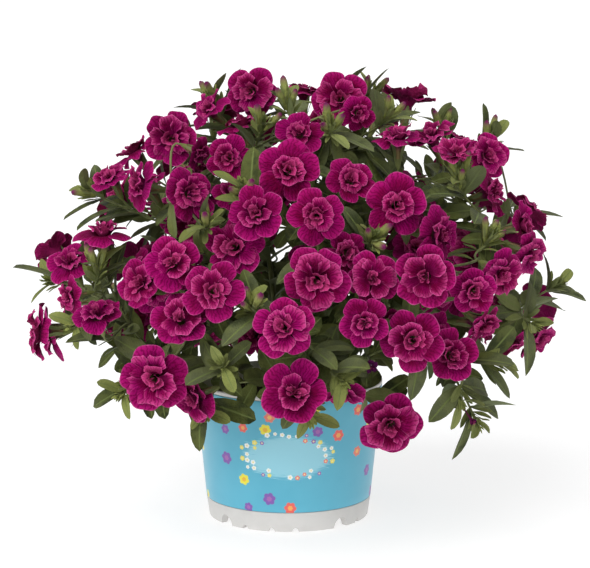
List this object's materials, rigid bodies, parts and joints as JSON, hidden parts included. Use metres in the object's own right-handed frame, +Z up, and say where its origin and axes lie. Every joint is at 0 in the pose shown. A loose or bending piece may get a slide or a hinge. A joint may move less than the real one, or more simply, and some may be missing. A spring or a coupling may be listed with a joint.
{
  "type": "potted calibrachoa",
  "caption": "Mounded bedding plant with double magenta flowers and small leaves, in a round tapered pot with a printed sleeve.",
  "frame": {"origin": "middle of the pot's flat underside", "axes": "+Z up out of the pot, -Y towards the front of the plant, +X to the right seen from the front"},
  "size_m": [0.3537, 0.3199, 0.2877],
  "materials": {
    "pot_plastic": "satin",
    "sleeve_print": "satin",
    "potting_soil": "matte",
    "foliage": "matte",
    "petals": "velvety"
  },
  "bodies": {
    "root": {"bloom_01": "petals", "bloom_02": "petals", "bloom_03": "petals", "bloom_04": "petals", "bloom_05": "petals", "bloom_06": "petals", "bloom_07": "petals", "bloom_08": "petals", "bloom_09": "petals", "bloom_10": "petals", "bloom_11": "petals", "bloom_12": "petals", "bloom_13": "petals", "bloom_14": "petals", "bloom_15": "petals", "bloom_16": "petals", "bloom_17": "petals", "bloom_18": "petals", "bloom_19": "petals", "bloom_20": "petals", "bloom_21": "petals", "bloom_22": "petals", "bloom_23": "petals", "bloom_24": "petals", "bloom_25": "petals", "bloom_26": "petals", "bloom_27": "petals", "bloom_28": "petals", "bloom_29": "petals", "bloom_30": "petals", "bloom_31": "petals", "bloom_32": "petals", "bloom_33": "petals", "bloom_34": "petals", "bloom_35": "petals", "bloom_36": "petals", "bloom_37": "petals", "bloom_38": "petals", "bloom_39": "petals", "bloom_40": "petals", "bloom_41": "petals", "bloom_42": "petals", "bloom_43": "petals", "bloom_44": "petals", "bloom_45": "petals", "leafy_stem_01": "foliage", "leafy_stem_02": "foliage", "leafy_stem_03": "foliage", "leafy_stem_04": "foliage", "leafy_stem_05": "foliage", "leafy_stem_06": "foliage", "leafy_stem_07": "foliage", "leafy_stem_08": "foliage", "leafy_stem_09": "foliage", "leafy_stem_10": "foliage", "leafy_stem_11": "foliage", "leafy_stem_12": "foliage", "pot": "pot_plastic", "printed_sleeve": "sleeve_print", "soil": "potting_soil"}
  },
  "joints": []
}
